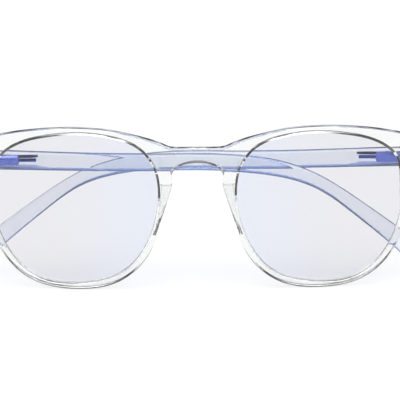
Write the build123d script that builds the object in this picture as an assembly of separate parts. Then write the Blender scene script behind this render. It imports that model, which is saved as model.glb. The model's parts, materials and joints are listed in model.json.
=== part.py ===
from build123d import *
import math
import os

# Blue light glasses: a clear plastic front with two lenses and two folding temples.
# Millimetres, +Z up. The front faces -Y, so the wearer's right side is at -X.
# The origin is the middle of the folded pair's footprint, at the height of the lowest rim.

# Front frame
FACE_RADIUS = 380.0
FRAME_DEPTH = 3.8
LENS_CENTRE_X = 35.1
RIM_DROP = 24.7
EDGE_ROUND = 0.6

# Blocks that are cut down to size: each is only larger than the whole front
BLOCK_WIDTH = 180.0
BLOCK_HEIGHT = 120.0
BLOCK_START = -5.0
BLOCK_DEPTH = 40.0
SLAB_DEPTH = 60.0

# Lenses and the groove that holds them
LENS_THICKNESS = 2.0
BEVEL_THICKNESS = 1.0
BEVEL_HEIGHT = 0.7
LENS_SETBACK = 0.9

# Hinges
HINGE_X = 64.7
BOSS_BACK = 11.2
HINGE_SETBACK = 2.0
HINGE_Y = BOSS_BACK + HINGE_SETBACK
HINGE_HEIGHT = 12.4
KNUCKLE_RADIUS = 1.45
KNUCKLE_GAP = 0.05
MIDDLE_KNUCKLE = 1.6
END_KNUCKLE = 1.2
PIN_RADIUS = 0.6
PIN_CLEARANCE = 0.05
SCREW_HEAD_RADIUS = 1.05
SCREW_HEAD_HEIGHT = 0.5
SLOT_WIDTH = 0.3
LEAF_THICKNESS = 1.0

# Temples
TEMPLE_INNER = 1.8
TEMPLE_THICKNESS = 3.5
TEMPLE_EDGE = 0.9
LONGEST_END_EDGE = 8.0
SPLAY = 3.4
FOLD_RIGHT = 91.6
FOLD_LEFT = 87.6
END_GAP = 0.25
PLATE_START = 1.2
PLATE_END = 10.9
PLATE_HEIGHT = 3.0
TAIL_END = 16.1
TAIL_HEIGHT = 0.9
POCKET_END = 16.7
POCKET_HEIGHT = 3.4
POCKET_DEPTH = 0.9
POCKET_START = 1.0
PLATE_CORNER = 0.5
FRONT_PLATE_REACH = 2.8
SCREW_POINT = 0.3
WEB_OVERLAP = 1.6
TAIL_OVERLAP = 0.5

# Nose pads: corners of the seat on the rim, and how the pad narrows towards the wearer
PAD_CORNERS = [(7.9, 7.2), (11.3, 7.2), (13.6, -8.6), (12.9, -8.6)]
PAD_WAIST = (12.1, 0.0)
PAD_REACH = 6.0
PAD_FLARE = 1.2
PAD_SHRINK = 0.82
PAD_ROUND = 0.2
PAD_OVERLAP = 0.5

# Endpiece bosses behind the face, which carry the hinges
BOSS_START = 61.8
BOSS_HEIGHT = 6.6

# Lens opening, from the lens centre: first number towards the temple, second upwards.
OPENING = [
    (25.4, 1.5),
    (25.2, 8.0),
    (23.9, 14.2),
    (19.5, 18.2),
    (10.0, 21.2),
    (0.0, 22.1),
    (-10.0, 21.0),
    (-17.5, 18.0),
    (-22.4, 11.3),
    (-23.4, 4.5),
    (-20.9, -8.2),
    (-13.5, -18.6),
    (0.0, -22.9),
    (13.5, -20.8),
    (21.9, -12.2),
]

# Left half of the front's outline, from the bridge's top out and round to the nose.
BRIDGE_TOP = 18.2
BRIDGE_FLAT = 8.0
BRIDGE_BLEND = 6.0
BROW = [
    (13.6, 20.5),
    (19.7, 22.1),
    (26.0, 23.4),
    (35.1, 24.1),
    (46.8, 23.6),
    (56.0, 22.4),
    (64.5, 20.2),
]
ENDPIECE_TIP_X = 69.8
ENDPIECE_TOP = 17.6
ENDPIECE_BOTTOM = 9.0
ENDPIECE_CORNER = 1.5
RIM_SIDE = [
    (64.6, 8.8),
    (62.9, 5.2),
    (62.3, -2.0),
    (58.7, -13.6),
    (50.0, -21.9),
    (36.0, -RIM_DROP),
    (24.0, -22.5),
    (16.5, -16.6),
    (12.1, -7.4),
]
NOSE_SIDE_TOP = (7.5, 6.6)
ARCH_TOP = 13.8
ARCH_HALF_WIDTH = 7.6
ARCH_SPRING = 9.8
NOSE_BLEND = 4.0

# Temple outline, from the hinge axis: first number along the temple, second upwards.
TEMPLE_TOP = [
    (50.0, 1.6),
    (82.0, 0.7),
    (99.2, -4.0),
    (112.0, -11.7),
    (124.0, -20.3),
    (133.0, -27.2),
]
TEMPLE_BOTTOM = [
    (124.0, -27.2),
    (112.0, -17.2),
    (100.4, -9.1),
    (84.3, -4.7),
    (50.0, -3.6),
]
TEMPLE_TIP = (132.5, -33.0)
TEMPLE_FRONT_TOP = 3.0
TEMPLE_FRONT_BOTTOM = -2.9
# Directions of the temple's edges where they start and end, as steps along it and upwards
TOP_START = (0, 1, -0.028)
TIP_TOP = (0, 1, -0.85)
TIP_LOW = (0, -1, 0.9)
BOTTOM_END = (0, -1, 0.012)


def curved_slab(front, thickness):
    """A thick curved wall, whose front face is set back by front from the frame's face."""
    centre = (0.0, FACE_RADIUS)
    with BuildPart() as slab:
        with BuildSketch(Plane.XY.offset(-BLOCK_HEIGHT / 2)):
            with Locations(centre):
                Circle(FACE_RADIUS - front)
                Circle(FACE_RADIUS - front - thickness, mode=Mode.SUBTRACT)
            with Locations((0, SLAB_DEPTH / 3)):
                Rectangle(BLOCK_WIDTH, SLAB_DEPTH, mode=Mode.INTERSECT)
        extrude(amount=BLOCK_HEIGHT)
    return slab.part


def upright_block(outline):
    """Extrude a face drawn in the XZ plane backwards, from in front of the face to well behind it."""
    placed = Pos(0, BLOCK_START, 0) * outline
    return extrude(placed, amount=BLOCK_DEPTH, dir=(0, 1, 0))


def upright(face):
    """Stand a face drawn on the floor up in the XZ plane."""
    return Rot(90, 0, 0) * face


def opening_face(grow, side):
    """The lens outline in the XZ plane, grown outwards all round, on the side -1 or +1."""
    points = []
    for x, z in OPENING:
        scale = 1 + grow / math.hypot(x, z)
        points.append((side * (LENS_CENTRE_X + scale * x), scale * z))
    return upright(make_face(Spline(*points, periodic=True)))


def half_outline():
    """The left half of the front, drawn on the floor, from the middle of the bridge outwards."""
    bridge_end = (BRIDGE_FLAT, BRIDGE_TOP)
    tip_top = (ENDPIECE_TIP_X, ENDPIECE_TOP)
    tip_low = (ENDPIECE_TIP_X, ENDPIECE_BOTTOM)
    arch_side = (ARCH_HALF_WIDTH, ARCH_SPRING)
    middle_top = (0, BRIDGE_TOP)
    middle_low = (0, ARCH_TOP)
    rise = ARCH_TOP - ARCH_SPRING
    crown = EllipticalCenterArc((0, ARCH_SPRING), ARCH_HALF_WIDTH, rise, arc_size=90)
    lines = [
        Line(middle_low, middle_top),
        Line(middle_top, bridge_end),
        Spline(bridge_end, *BROW, tip_top),
        Line(tip_top, tip_low),
        Line(tip_low, RIM_SIDE[0]),
        Spline(*RIM_SIDE),
        Line(RIM_SIDE[-1], NOSE_SIDE_TOP),
        Line(NOSE_SIDE_TOP, arch_side),
        crown,
    ]
    return make_face(lines)


def front_outline():
    """The outline of the whole front in the XZ plane."""
    half = half_outline()
    face = half + mirror(half, about=Plane.YZ)
    corners = [vertex for vertex in face.vertices() if abs(vertex.X) > ENDPIECE_TIP_X - 0.1]
    face = fillet(corners, ENDPIECE_CORNER)
    waist = [vertex for vertex in face.vertices() if abs(abs(vertex.X) - BRIDGE_FLAT) < 0.01]
    face = fillet(waist, BRIDGE_BLEND)
    nose = [vertex for vertex in face.vertices() if abs(vertex.Y - NOSE_SIDE_TOP[1]) < 0.01]
    face = fillet(nose, NOSE_BLEND)
    notch = [vertex for vertex in face.vertices() if abs(abs(vertex.X) - RIM_SIDE[0][0]) < 0.01]
    return upright(fillet(notch, ENDPIECE_CORNER))


def box_between(low, high):
    """A box given by its lowest and highest corners."""
    size = [high[i] - low[i] for i in range(3)]
    return Pos(*low) * Box(*size, align=(Align.MIN, Align.MIN, Align.MIN))


def mirrored(shape):
    """The same shape on the other side of the nose."""
    return mirror(shape, about=Plane.YZ)


def hinge_parts():
    """The left hinge in its own frame: the axis is vertical through the origin, +Y is behind.

    Returns the front leaf, the screw, and the temple leaf with its temple open.
    """
    half_middle = MIDDLE_KNUCKLE / 2
    half_stack = half_middle + KNUCKLE_GAP + END_KNUCKLE
    end_middle = half_middle + KNUCKLE_GAP + END_KNUCKLE / 2
    pin_hole = Cylinder(PIN_RADIUS, BLOCK_DEPTH)

    plate_low = (-FRONT_PLATE_REACH, -HINGE_SETBACK - LEAF_THICKNESS, -half_stack)
    plate_high = (KNUCKLE_RADIUS, -HINGE_SETBACK, half_stack)
    front_leaf = box_between(plate_low, plate_high)
    for level in (-end_middle, end_middle):
        knuckle = Pos(0, 0, level) * Cylinder(KNUCKLE_RADIUS, END_KNUCKLE)
        web = Pos(0, -HINGE_SETBACK / 2, level) * Box(2 * KNUCKLE_RADIUS, HINGE_SETBACK, END_KNUCKLE)
        front_leaf += knuckle + web
    front_leaf -= pin_hole

    plate_low = (TEMPLE_INNER + POCKET_DEPTH - LEAF_THICKNESS, PLATE_START, -PLATE_HEIGHT / 2)
    plate_high = (TEMPLE_INNER + POCKET_DEPTH, PLATE_END, PLATE_HEIGHT / 2)
    plate = box_between(plate_low, plate_high)
    corners = plate.edges().filter_by(Axis.X).group_by(Axis.Y)[-1]
    plate = fillet(corners, PLATE_CORNER)
    tail_low = (TEMPLE_INNER + POCKET_DEPTH - TAIL_HEIGHT, PLATE_END - TAIL_OVERLAP, -TAIL_HEIGHT / 2)
    tail_high = (TEMPLE_INNER + POCKET_DEPTH, TAIL_END, TAIL_HEIGHT / 2)
    web = box_between((0, 0, -half_middle), (TEMPLE_INNER, PLATE_START + WEB_OVERLAP, half_middle))
    temple_leaf = plate + box_between(tail_low, tail_high) + web
    temple_leaf += Cylinder(KNUCKLE_RADIUS, MIDDLE_KNUCKLE)
    temple_leaf -= Cylinder(PIN_RADIUS + PIN_CLEARANCE, MIDDLE_KNUCKLE)

    shaft_length = 2 * half_stack + SCREW_POINT
    screw = Pos(0, 0, half_stack - shaft_length / 2) * Cylinder(PIN_RADIUS, shaft_length)
    head = Pos(0, 0, half_stack + SCREW_HEAD_HEIGHT / 2) * Cylinder(SCREW_HEAD_RADIUS, SCREW_HEAD_HEIGHT)
    head = fillet(head.edges().group_by(Axis.Z)[-1], SLOT_WIDTH / 2)
    slot_bar = Box(4 * SCREW_HEAD_RADIUS, SLOT_WIDTH, SCREW_HEAD_HEIGHT)
    slot = Pos(0, 0, half_stack + SCREW_HEAD_HEIGHT) * slot_bar
    screw += head - slot
    return front_leaf, screw, temple_leaf


def temple_open():
    """The left temple in its hinge's frame, open: its length runs along +Y, +X is outside."""
    front_low = (-HINGE_SETBACK + END_GAP, TEMPLE_FRONT_BOTTOM)
    front_top = (-HINGE_SETBACK + END_GAP, TEMPLE_FRONT_TOP)
    top = Spline(
        *[(0, along, up) for along, up in (front_top, *TEMPLE_TOP)],
        tangents=[TOP_START, TIP_TOP],
    )
    bottom = Spline(
        *[(0, along, up) for along, up in (*TEMPLE_BOTTOM, front_low)],
        tangents=[TIP_LOW, BOTTOM_END],
    )
    tip_start = (0, *TEMPLE_TOP[-1])
    tip_end = (0, *TEMPLE_BOTTOM[0])
    tip = Spline(tip_start, (0, *TEMPLE_TIP), tip_end, tangents=[TIP_TOP, TIP_LOW])
    closing = Line((0, *front_low), (0, *front_top))
    profile = make_face([top, tip, bottom, closing])
    arm = extrude(Pos(TEMPLE_INNER, 0, 0) * profile, amount=TEMPLE_THICKNESS, dir=(1, 0, 0))

    bevel = TEMPLE_THICKNESS * math.tan(math.radians(SPLAY))
    wedge = Polyline(
        (TEMPLE_INNER, -HINGE_SETBACK),
        (TEMPLE_INNER, -HINGE_SETBACK + END_GAP),
        (TEMPLE_INNER + TEMPLE_THICKNESS, -HINGE_SETBACK + END_GAP + bevel),
        (TEMPLE_INNER + TEMPLE_THICKNESS, -HINGE_SETBACK),
        close=True,
    )
    arm -= extrude(Pos(0, 0, BLOCK_START) * make_face(wedge), amount=BLOCK_DEPTH)
    long_edges = [edge for edge in arm.edges() if edge.length > LONGEST_END_EDGE]
    arm = fillet(long_edges, TEMPLE_EDGE)
    pocket_low = (0, POCKET_START, -POCKET_HEIGHT / 2)
    pocket_high = (TEMPLE_INNER + POCKET_DEPTH, POCKET_END, POCKET_HEIGHT / 2)
    return arm - box_between(pocket_low, pocket_high)


def front_frame(leaf):
    """The clear front, with its grooves and the seats of the two front leaves."""
    outline = front_outline()
    frame = upright_block(outline) & curved_slab(0, FRAME_DEPTH)
    for side in (1, -1):
        frame -= upright_block(opening_face(0, side))
    frame = fillet([edge for edge in frame.edges() if runs_round_a_face(edge)], EDGE_ROUND)
    half_width = BLOCK_WIDTH / 2
    half_height = BLOCK_HEIGHT / 2
    to_boss_back = box_between((-half_width, 0, -half_height), (half_width, BOSS_BACK, half_height))
    behind_face = curved_slab(FRAME_DEPTH / 2, BLOCK_DEPTH) & to_boss_back
    for side in (1, -1):
        frame += boss_block(side) & behind_face
        frame -= bevel_ring(side)
    frame -= leaf
    frame -= mirrored(leaf)
    return frame


def boss_block(side):
    """The solid that carries one hinge, from the side of the temple to the rim."""
    width = ENDPIECE_TIP_X - EDGE_ROUND - BOSS_START
    plate = RectangleRounded(width, BOSS_HEIGHT, ENDPIECE_CORNER)
    place = Pos(side * (BOSS_START + width / 2), 0, HINGE_HEIGHT)
    return upright_block(place * upright(plate))


def runs_round_a_face(edge):
    """Whether an edge lies in the front's curved face or in its curved back."""
    for where in (0.0, 0.3, 0.7, 1.0):
        point = edge.position_at(where)
        behind = FACE_RADIUS - math.hypot(point.X, FACE_RADIUS - point.Y)
        if min(abs(behind), abs(behind - FRAME_DEPTH)) > 0.001:
            return False
    return True


def bevel_ring(side):
    """The lens's raised edge, which is also the shape of the rim's groove."""
    ring = upright_block(opening_face(BEVEL_HEIGHT, side))
    inset = LENS_SETBACK + (LENS_THICKNESS - BEVEL_THICKNESS) / 2
    return ring & curved_slab(inset, BEVEL_THICKNESS)


def lens(side):
    """One lens with its raised edge in the rim's groove."""
    pane = upright_block(opening_face(0, side)) & curved_slab(LENS_SETBACK, LENS_THICKNESS)
    return pane + bevel_ring(side)


def pad_face(shrink, outwards, back):
    """A cross-section of the left pad, parallel to the XZ plane."""
    top_in, top_out, low_out, low_in = PAD_CORNERS
    lines = [
        Line(top_in, top_out),
        Spline(top_out, PAD_WAIST, low_out),
        Line(low_out, low_in),
        Line(low_in, top_in),
    ]
    face = make_face(lines)
    middle = face.center()
    face = Pos(middle.X + outwards, middle.Y, 0) * scale(Pos(-middle.X, -middle.Y, 0) * face, by=shrink)
    return Pos(0, back, 0) * upright(face)


def nose_pad():
    """The left pad, standing on the back of the rim beside the nose."""
    seat_depth = FRAME_DEPTH - PAD_OVERLAP
    seat = pad_face(1.0, 0.0, seat_depth)
    crown = pad_face(PAD_SHRINK, PAD_FLARE, seat_depth + PAD_REACH)
    pad = loft([seat, crown])
    pad = fillet(pad.edges().group_by(Axis.Y)[-1], PAD_ROUND)
    return pad & curved_slab(FRAME_DEPTH, BLOCK_DEPTH)


hinge_place = Pos(HINGE_X, HINGE_Y, HINGE_HEIGHT)
leaf, screw, temple_leaf = hinge_parts()
leaf = hinge_place * leaf
screw = hinge_place * screw
arm = temple_open()

nodes = {
    "front_frame": front_frame(leaf),
    "lens_left": lens(1),
    "lens_right": lens(-1),
    "nose_pad_left": nose_pad(),
    "nose_pad_right": mirrored(nose_pad()),
    "front_hinge_leaf_left": leaf,
    "front_hinge_leaf_right": mirrored(leaf),
    "hinge_screw_left": screw,
    "hinge_screw_right": mirrored(screw),
    "temple_hinge_leaf_left": hinge_place * Rot(0, 0, FOLD_LEFT) * temple_leaf,
    "temple_hinge_leaf_right": mirrored(hinge_place * Rot(0, 0, FOLD_RIGHT) * temple_leaf),
    "temple_left": hinge_place * Rot(0, 0, FOLD_LEFT) * arm,
    "temple_right": mirrored(hinge_place * Rot(0, 0, FOLD_RIGHT) * arm),
}

boxes = [shape.bounding_box() for shape in nodes.values()]
low_y = min(box.min.Y for box in boxes)
high_y = max(box.max.Y for box in boxes)
floor = min(box.min.Z for box in boxes)
to_origin = Pos(0, -(low_y + high_y) / 2, -floor)
print("origin shift", to_origin.position)

os.makedirs("parts", exist_ok=True)
for name, shape in nodes.items():
    export_step(to_origin * shape, f"parts/{name}.step")
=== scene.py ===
"""Clear blue light glasses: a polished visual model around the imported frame, with its studio and camera."""

import json
import logging
import math
from dataclasses import dataclass, field
from enum import Enum
from typing import Callable

import bmesh
import bpy
import numpy as np
from mathutils import Matrix, Vector

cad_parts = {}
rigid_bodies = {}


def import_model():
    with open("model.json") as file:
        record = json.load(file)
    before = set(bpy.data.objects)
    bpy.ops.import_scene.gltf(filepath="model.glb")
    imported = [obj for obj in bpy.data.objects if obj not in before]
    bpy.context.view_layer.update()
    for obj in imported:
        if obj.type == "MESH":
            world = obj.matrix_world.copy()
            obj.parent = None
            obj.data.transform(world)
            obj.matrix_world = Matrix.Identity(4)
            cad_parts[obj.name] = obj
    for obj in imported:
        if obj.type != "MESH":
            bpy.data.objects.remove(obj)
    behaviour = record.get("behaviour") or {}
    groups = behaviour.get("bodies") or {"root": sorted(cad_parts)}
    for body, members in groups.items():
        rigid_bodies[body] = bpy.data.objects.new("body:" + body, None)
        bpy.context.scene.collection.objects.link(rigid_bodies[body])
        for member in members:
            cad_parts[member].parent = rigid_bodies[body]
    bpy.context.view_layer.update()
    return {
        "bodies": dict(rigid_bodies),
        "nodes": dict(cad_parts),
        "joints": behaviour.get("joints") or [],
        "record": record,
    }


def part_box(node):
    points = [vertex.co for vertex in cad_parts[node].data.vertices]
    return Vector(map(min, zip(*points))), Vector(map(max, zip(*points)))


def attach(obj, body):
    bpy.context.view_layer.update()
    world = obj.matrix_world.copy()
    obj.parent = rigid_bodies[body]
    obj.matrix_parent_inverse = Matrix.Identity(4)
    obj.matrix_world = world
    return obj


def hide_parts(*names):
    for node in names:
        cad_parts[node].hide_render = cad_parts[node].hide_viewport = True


log = logging.getLogger("glasses")
MM = 0.001
WELD_MM = 0.001


class Side(Enum):
    """The wearer's two sides."""

    LEFT = "left"
    RIGHT = "right"


def linear(hex_colour: str, alpha: float = 1.0) -> tuple[float, float, float, float]:
    """Turn an sRGB hex colour into linear light.

    Args:
        hex_colour: Six hex digits after a hash.
        alpha: The fourth value.

    Returns:
        Linear red, green and blue, and alpha.
    """
    values = [int(hex_colour[i : i + 2], 16) / 255 for i in (1, 3, 5)]
    red, green, blue = [v / 12.92 if v <= 0.04045 else ((v + 0.055) / 1.055) ** 2.4 for v in values]
    return red, green, blue, alpha


def add_node(
    tree: bpy.types.NodeTree, kind: str, settings: dict | None = None, links: dict | None = None
) -> bpy.types.Node:
    """Add one node to a tree.

    Args:
        tree: The node tree.
        kind: The node's type name.
        settings: Attribute values by name, or input values by input name.
        links: Output sockets by the input name that they feed.

    Returns:
        The new node.
    """
    node = tree.nodes.new(kind)
    for name, value in (settings or {}).items():
        if name in node.inputs:
            node.inputs[name].default_value = value
        else:
            setattr(node, name, value)
    for name, socket in (links or {}).items():
        tree.links.new(socket, node.inputs[name])
    return node


def blank_material(name: str) -> tuple[bpy.types.Material, bpy.types.NodeTree]:
    """Make a material with an empty node tree.

    Args:
        name: The material's name.

    Returns:
        The material and its tree.
    """
    material = bpy.data.materials.new(name)
    material.use_nodes = True
    material.node_tree.nodes.clear()
    return material, material.node_tree


@dataclass(frozen=True)
class ClearPlastic:
    """Injection-moulded and tumbled clear plastic: glassy, with faint flow waves that bend the view."""

    name: str = "polished_clear_plastic"
    tint: str = "#F6F7F6"
    clearness: float = 1.0
    ior: float = 1.49
    roughness: float = 0.015
    wave_mm: float = 9.0
    wave_depth_mm: float = 0.02

    def make(self) -> bpy.types.Material:
        """Build the material."""
        material, tree = blank_material(self.name)
        coords = add_node(tree, "ShaderNodeTexCoord")
        waves = add_node(
            tree,
            "ShaderNodeTexNoise",
            {"Scale": 1 / (self.wave_mm * MM), "Detail": 1.0},
            {"Vector": coords.outputs["Object"]},
        )
        bump = add_node(
            tree,
            "ShaderNodeBump",
            {"Strength": 1.0, "Distance": self.wave_depth_mm * MM},
            {"Height": waves.outputs["Fac"]},
        )
        shader = add_node(
            tree,
            "ShaderNodeBsdfPrincipled",
            {
                "Base Color": linear(self.tint),
                "Roughness": self.roughness,
                "IOR": self.ior,
                "Transmission Weight": self.clearness,
            },
            {"Normal": bump.outputs["Normal"]},
        )
        add_node(tree, "ShaderNodeOutputMaterial", links={"Surface": shader.outputs["BSDF"]})
        return material


@dataclass(frozen=True)
class CoatedLens:
    """Cast plastic lens with a vacuum-deposited filter coat: a faint cast, and towards the nose a bluer tone
    that is a painted reflection of the coat's blue sheen.
    """

    name: str = "coated_lens"
    tint: str = "#E9E9EC"
    # Painted reflection: this bluer colour near the nose stands in for the coat's blue sheen.
    nasal_painted_reflection_tint: str = "#E6EAF3"
    sheen_tint: str = "#A9B4F5"
    ior: float = 1.5
    nasal_mm: float = 16.0
    outer_mm: float = 40.0

    def make(self) -> bpy.types.Material:
        """Build the material."""
        material, tree = blank_material(self.name)
        coords = add_node(tree, "ShaderNodeTexCoord")
        split = add_node(tree, "ShaderNodeSeparateXYZ", links={"Vector": coords.outputs["Object"]})
        sideways = add_node(tree, "ShaderNodeMath", {"operation": "ABSOLUTE"})
        tree.links.new(split.outputs["X"], sideways.inputs[0])
        share = add_node(
            tree,
            "ShaderNodeMapRange",
            {"From Min": self.nasal_mm * MM, "From Max": self.outer_mm * MM},
            {"Value": sideways.outputs[0]},
        )
        # Painted reflection: the base colour turns bluer towards the nose, standing in for the coat's blue
        # sheen.
        ramp = add_node(tree, "ShaderNodeValToRGB", links={"Fac": share.outputs["Result"]})
        ramp.color_ramp.elements[0].color = linear(self.nasal_painted_reflection_tint)
        ramp.color_ramp.elements[1].color = linear(self.tint)
        shader = add_node(
            tree,
            "ShaderNodeBsdfPrincipled",
            {
                "Roughness": 0.0,
                "IOR": self.ior,
                "Transmission Weight": 1.0,
                "Specular Tint": linear(self.sheen_tint),
            },
            {"Base Color": ramp.outputs["Color"]},
        )
        add_node(tree, "ShaderNodeOutputMaterial", links={"Surface": shader.outputs["BSDF"]})
        return material


@dataclass(frozen=True)
class HingeSteel:
    """Stamped steel, blue by default as a painted reflection of the coating's blue sheen: tumbling leaves
    patches that shine unevenly.
    """

    name: str = "steel_painted_blue_reflection"
    # Painted reflection: the default blue stands in for the coating's blue sheen, not for a plating colour.
    tint: str = "#7D8ADC"
    roughness: float = 0.28
    grain_mm: float = 0.4
    smoother: float = 0.08
    rougher: float = 0.1

    def make(self) -> bpy.types.Material:
        """Build the material."""
        material, tree = blank_material(self.name)
        coords = add_node(tree, "ShaderNodeTexCoord")
        grain = add_node(
            tree,
            "ShaderNodeTexNoise",
            {"Scale": 1 / (self.grain_mm * MM), "Detail": 3.0},
            {"Vector": coords.outputs["Object"]},
        )
        rough = add_node(
            tree,
            "ShaderNodeMapRange",
            {"To Min": self.roughness - self.smoother, "To Max": self.roughness + self.rougher},
            {"Value": grain.outputs["Fac"]},
        )
        shader = add_node(
            tree,
            "ShaderNodeBsdfPrincipled",
            {"Base Color": linear(self.tint), "Metallic": 1.0},
            {"Roughness": rough.outputs["Result"]},
        )
        add_node(tree, "ShaderNodeOutputMaterial", links={"Surface": shader.outputs["BSDF"]})
        return material


@dataclass
class Finishes:
    """Every finish of the pair, made once."""

    frame_plastic: bpy.types.Material = field(default_factory=lambda: ClearPlastic().make())
    pad_plastic: bpy.types.Material = field(default_factory=lambda: ClearPlastic("clear_pad_plastic").make())
    temple_plastic: bpy.types.Material = field(
        default_factory=lambda: ClearPlastic("cool_clear_plastic", tint="#EBEEF5").make()
    )
    # Painted glow: a bluer, less clear plastic on the temples' lower edges stands in for the blue light led
    # out there.
    temple_painted_edge_glow: bpy.types.Material = field(
        default_factory=lambda: ClearPlastic("plastic_painted_edge_glow", tint="#AFC1F5", clearness=0.3).make()
    )
    lens: bpy.types.Material = field(default_factory=lambda: CoatedLens().make())
    # The hinge leaves carry the painted blue reflection.
    hinge: bpy.types.Material = field(default_factory=lambda: HingeSteel().make())
    screw: bpy.types.Material = field(
        default_factory=lambda: HingeSteel("screw_steel", tint="#B9BCC8", roughness=0.2).make()
    )


def polished_copy(
    source: bpy.types.Object, name: str, material: bpy.types.Material, sharp_degrees: float = 35.0
) -> bpy.types.Object:
    """Copy a frame node as one welded mesh with smooth faces.

    Args:
        source: The frame node's object.
        name: The new piece's name.
        material: Its finish.
        sharp_degrees: Edges that turn more than this stay crisp.

    Returns:
        The new piece.
    """
    mesh = bpy.data.meshes.new(name)
    shape = bmesh.new()
    shape.from_mesh(source.data)
    bmesh.ops.remove_doubles(shape, verts=shape.verts, dist=WELD_MM * MM)
    bmesh.ops.dissolve_degenerate(shape, edges=shape.edges, dist=WELD_MM * MM)
    bmesh.ops.recalc_face_normals(shape, faces=shape.faces)
    for face in shape.faces:
        face.smooth = True
        face.material_index = 0
    shape.to_mesh(mesh)
    shape.free()
    mesh.materials.clear()
    mesh.materials.append(material)
    mesh.set_sharp_from_angle(angle=math.radians(sharp_degrees))
    piece = bpy.data.objects.new(name, mesh)
    bpy.context.scene.collection.objects.link(piece)
    return piece


def face_true(
    mesh: bpy.types.Mesh,
    guide: Callable[[Vector], Vector],
    near_degrees: float = 1.5,
    blend_degrees: float = 15.0,
) -> None:
    """Give the broad faces the exact normals of the surface that they stand for.

    Args:
        mesh: The piece's mesh.
        guide: The surface's outward direction at a point.
        near_degrees: A facet this close to the guide belongs to the surface.
        blend_degrees: A corner that leans further from the guide than this keeps its own normal.
    """
    normals = [corner.vector.copy() for corner in mesh.corner_normals]
    near = math.cos(math.radians(near_degrees))
    blend = math.cos(math.radians(blend_degrees))
    on_surface: dict[int, Vector] = {}
    for face in mesh.polygons:
        direction = guide(face.center)
        facing = face.normal.dot(direction)
        if abs(facing) > near:
            for vertex in face.vertices:
                on_surface[vertex] = guide(mesh.vertices[vertex].co) * math.copysign(1.0, facing)
    for index, loop in enumerate(mesh.loops):
        true = on_surface.get(loop.vertex_index)
        if true is not None and normals[index].dot(true) > blend:
            normals[index] = true
    mesh.normals_split_custom_set(normals)


@dataclass
class Builder:
    """Places pieces on the frame's bodies."""

    frame: dict
    finishes: Finishes

    def stand_in(self, node: str, body: str, slot: str, material: bpy.types.Material) -> bpy.types.Object:
        """Show a polished piece in place of a frame node.

        Args:
            node: The frame node.
            body: The body that it rides on.
            slot: The record's material slot; not used.
            material: The finish.

        Returns:
            The piece.
        """
        piece = polished_copy(self.frame["nodes"][node], f"{node}_polished", material)
        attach(piece, body)
        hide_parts(node)
        log.info("%s: %d faces", piece.name, len(piece.data.polygons))
        return piece


@dataclass
class Lens:
    """One cast lens: a thin curved pane with a V-shaped edge that sits in the rim's groove."""

    side: Side
    face_radius_mm: float = 380.0
    setback_mm: float = 0.9
    thickness_mm: float = 2.0
    edge_mm: float = 0.6
    rings: int = 24
    spokes: int = 192
    on_face_mm: float = 0.02
    tip_mark: float = 0.01
    sharp_degrees: float = 30.0

    def outline(self, node: bpy.types.Object, axis: float) -> tuple[Vector, list[float]]:
        """Read the pane's outline from its frame node.

        Args:
            node: The frame node.
            axis: How far back the face's axis of curvature lies.

        Returns:
            The pane's centre, and its radius at each of the spokes.
        """
        low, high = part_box(node.name)
        middle = (Vector(low) + Vector(high)) / 2
        front = self.face_radius_mm - self.setback_mm
        rim: list[tuple[float, float]] = []
        for vertex in node.data.vertices:
            place = vertex.co
            if abs(math.hypot(place.x, place.y - axis) - front * MM) < self.on_face_mm * MM:
                across, up = place.x - middle.x, place.z - middle.z
                rim.append((math.atan2(up, across) % math.tau, math.hypot(across, up)))
        rim.sort()
        turns = [angle for angle, _ in rim]
        radii = [radius for _, radius in rim]
        steps = [math.tau * step / self.spokes for step in range(self.spokes)]
        return middle, list(np.interp(steps, turns, radii, period=math.tau))

    def build(self, node: bpy.types.Object, material: bpy.types.Material) -> bpy.types.Object:
        """Spin the pane's section round its centre and stretch it to the outline.

        Args:
            node: The frame node that it stands for.
            material: Its finish.

        Returns:
            The lens.
        """
        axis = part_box("front_frame")[0][1] + self.face_radius_mm * MM
        middle, radii = self.outline(node, axis)
        steps = [ring / self.rings for ring in range(self.rings + 1)]
        section = [(share, 0.0, 0.0) for share in steps]
        section.append((1.0, 0.5, 1.0))
        section += [(share, 1.0, 0.0) for share in reversed(steps)]
        shape = bmesh.new()
        chain = [shape.verts.new((share + out * self.tip_mark, 0, depth)) for share, depth, out in section]
        for first, second in zip(chain, chain[1:]):
            shape.edges.new((first, second))
        bmesh.ops.spin(
            shape,
            geom=shape.verts[:] + shape.edges[:],
            axis=(0, 0, 1),
            cent=(0, 0, 0),
            steps=self.spokes,
            angle=math.tau,
            use_merge=True,
        )
        bmesh.ops.remove_doubles(shape, verts=shape.verts, dist=1e-5)
        for vertex in shape.verts:
            share = math.hypot(vertex.co.x, vertex.co.y)
            spoke = round(math.atan2(vertex.co.y, vertex.co.x) / math.tau * self.spokes) % self.spokes
            tip = share > 1.0 + self.tip_mark / 2
            reach = radii[spoke] * min(share, 1.0) + (self.edge_mm * MM if tip else 0.0)
            turn = math.tau * spoke / self.spokes
            x = middle.x + reach * math.cos(turn)
            z = middle.z + reach * math.sin(turn)
            radius = (self.face_radius_mm - self.setback_mm - self.thickness_mm * vertex.co.z) * MM
            vertex.co = (x, axis - math.sqrt(radius**2 - x**2), z)
        bmesh.ops.recalc_face_normals(shape, faces=shape.faces)
        if shape.calc_volume(signed=True) < 0:
            bmesh.ops.reverse_faces(shape, faces=shape.faces)
        for face in shape.faces:
            face.smooth = True
        mesh = bpy.data.meshes.new(f"{node.name}_pane")
        shape.to_mesh(mesh)
        shape.free()
        mesh.set_sharp_from_angle(angle=math.radians(self.sharp_degrees))
        mesh.materials.append(material)
        lens = bpy.data.objects.new(mesh.name, mesh)
        bpy.context.scene.collection.objects.link(lens)
        return lens


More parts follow.
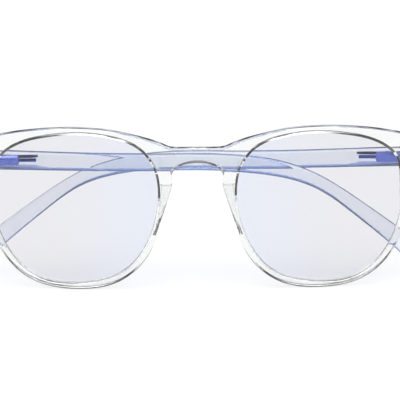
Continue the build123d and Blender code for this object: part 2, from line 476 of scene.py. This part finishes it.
@dataclass
class Front(Builder):
    """The clear front with its lenses, pads, front leaves and screws."""

    body: str = "front"
    face_radius_mm: float = 380.0

    def radial(self) -> Callable[[Vector], Vector]:
        """Give a function for the curved face's outward direction at a point.

        Returns:
            A function from a point in metres to a unit direction.
        """
        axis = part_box("front_frame")[0][1] + self.face_radius_mm * MM
        return lambda place: Vector((place.x, place.y - axis, 0)).normalized()

    def build(self) -> None:
        """Make every piece of the front."""
        rims = self.stand_in("front_frame", self.body, "clear_frame", self.finishes.frame_plastic)
        face_true(rims.data, self.radial())
        rims.visible_shadow = False
        for side in Side:
            node = f"lens_{side.value}"
            lens = Lens(side).build(self.frame["nodes"][node], self.finishes.lens)
            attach(lens, self.body)
            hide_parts(node)
            lens.visible_shadow = False
            pad = self.stand_in(f"nose_pad_{side.value}", self.body, "clear_pad", self.finishes.pad_plastic)
            pad.visible_shadow = False
            self.stand_in(f"front_hinge_leaf_{side.value}", self.body, "hinge_metal", self.finishes.hinge)
            self.stand_in(f"hinge_screw_{side.value}", self.body, "screw_metal", self.finishes.screw)


@dataclass
class Temple(Builder):
    """One temple with its hinge leaf."""

    side: Side = Side.LEFT
    glow_below: float = -0.3
    hinge_height_mm: float = 37.1

    def build(self) -> None:
        """Make the temple's pieces, with a painted blue glow on the lower edge for the blue light that the
        plastic leads out there.
        """
        body = f"{self.side.value}_temple"
        arm = self.stand_in(f"temple_{self.side.value}", body, "clear_temple", self.finishes.temple_plastic)
        broad = max(arm.data.polygons, key=lambda face: face.area).normal.copy()
        face_true(arm.data, lambda place: broad, near_degrees=0.2)
        arm.visible_shadow = False
        arm.data.materials.append(self.finishes.temple_painted_edge_glow)
        # Downward faces low on the temple get the painted blue edge glow.
        for face in arm.data.polygons:
            if face.normal.z < self.glow_below and face.center.z < self.hinge_height_mm * MM:
                face.material_index = 1
        self.stand_in(f"temple_hinge_leaf_{self.side.value}", body, "hinge_metal", self.finishes.hinge)


@dataclass
class Studio:
    """Pale floor, a broad light above and in front, dark walls and a long-lens camera in front."""

    distance_mm: float = 600.0
    elevation_degrees: float = 12.0
    roll_degrees: float = 0.48
    view_width_mm: float = 118.3
    aim_mm: tuple[float, float, float] = (0.74, -12.0, 27.4)
    light_edge: float = 0.8
    light_softness: float = 0.06
    floor_half_m: float = 3.0
    light_bounces: int = 24
    light_tilt_degrees: float = 35.0
    dark_wall: str = "#222224"
    bright_ceiling: str = "#FFFFFF"
    sky_strength: float = 3.6

    def floor(self) -> None:
        """Lay the floor."""
        mesh = bpy.data.meshes.new("floor")
        shape = bmesh.new()
        bmesh.ops.create_grid(shape, x_segments=1, y_segments=1, size=self.floor_half_m)
        shape.to_mesh(mesh)
        shape.free()
        floor = bpy.data.objects.new("floor", mesh)
        bpy.context.scene.collection.objects.link(floor)
        material, tree = blank_material("pale_floor")
        shader = add_node(
            tree, "ShaderNodeBsdfPrincipled", {"Base Color": linear("#FBFBFB"), "Roughness": 0.9}
        )
        add_node(tree, "ShaderNodeOutputMaterial", links={"Surface": shader.outputs["BSDF"]})
        mesh.materials.append(material)

    def surroundings(self) -> None:
        """Light the room from above and in front; the dark walls draw the dark lines in clear edges."""
        world = bpy.data.worlds.new("studio")
        world.use_nodes = True
        tree = world.node_tree
        tree.nodes.clear()
        coords = add_node(tree, "ShaderNodeTexCoord")
        nearness = add_node(tree, "ShaderNodeVectorMath", {"operation": "DOT_PRODUCT"})
        tree.links.new(coords.outputs["Generated"], nearness.inputs[0])
        tilt = math.radians(self.light_tilt_degrees)
        nearness.inputs[1].default_value = (0, -math.sin(tilt), math.cos(tilt))
        ramp = add_node(tree, "ShaderNodeValToRGB", links={"Fac": nearness.outputs["Value"]})
        dark, bright = ramp.color_ramp.elements
        dark.position, dark.color = self.light_edge - self.light_softness, linear(self.dark_wall)
        bright.position, bright.color = self.light_edge + self.light_softness, linear(self.bright_ceiling)
        light = add_node(
            tree, "ShaderNodeBackground", {"Strength": self.sky_strength}, {"Color": ramp.outputs["Color"]}
        )
        add_node(tree, "ShaderNodeOutputWorld", links={"Surface": light.outputs["Background"]})
        bpy.context.scene.world = world

    def camera(self) -> None:
        """Set the camera up in front, a little above the glasses."""
        aim = Vector(self.aim_mm) * MM
        lift = math.radians(self.elevation_degrees)
        away = Vector((0, -math.cos(lift), math.sin(lift)))
        data = bpy.data.cameras.new("front_camera")
        data.sensor_width = 36.0
        data.lens = data.sensor_width * self.distance_mm / self.view_width_mm
        data.clip_start = 0.01
        camera = bpy.data.objects.new("front_camera", data)
        turn = (-away).to_track_quat("-Z", "Y").to_matrix().to_4x4()
        roll = Matrix.Rotation(math.radians(-self.roll_degrees), 4, "Z")
        camera.matrix_world = Matrix.Translation(aim + away * self.distance_mm * MM) @ turn @ roll
        bpy.context.scene.collection.objects.link(camera)
        bpy.context.scene.camera = camera

    def build(self) -> None:
        """Set up the whole studio."""
        self.floor()
        self.surroundings()
        self.camera()
        scene = bpy.context.scene
        scene.view_settings.view_transform = "Standard"
        # Light already reaches what stands behind clear pieces, so refracted bounces would count it twice
        scene.cycles.caustics_refractive = False
        scene.cycles.caustics_reflective = False
        scene.cycles.max_bounces = self.light_bounces
        scene.cycles.transmission_bounces = self.light_bounces
        scene.cycles.transparent_max_bounces = self.light_bounces


def main() -> None:
    logging.basicConfig(level=logging.INFO, format="%(name)s: %(message)s")
    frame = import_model()
    finishes = Finishes()
    Front(frame, finishes).build()
    for side in Side:
        Temple(frame, finishes, side=side).build()
    Studio().build()
    log.info("size report written")


if __name__ == "__main__":
    main()
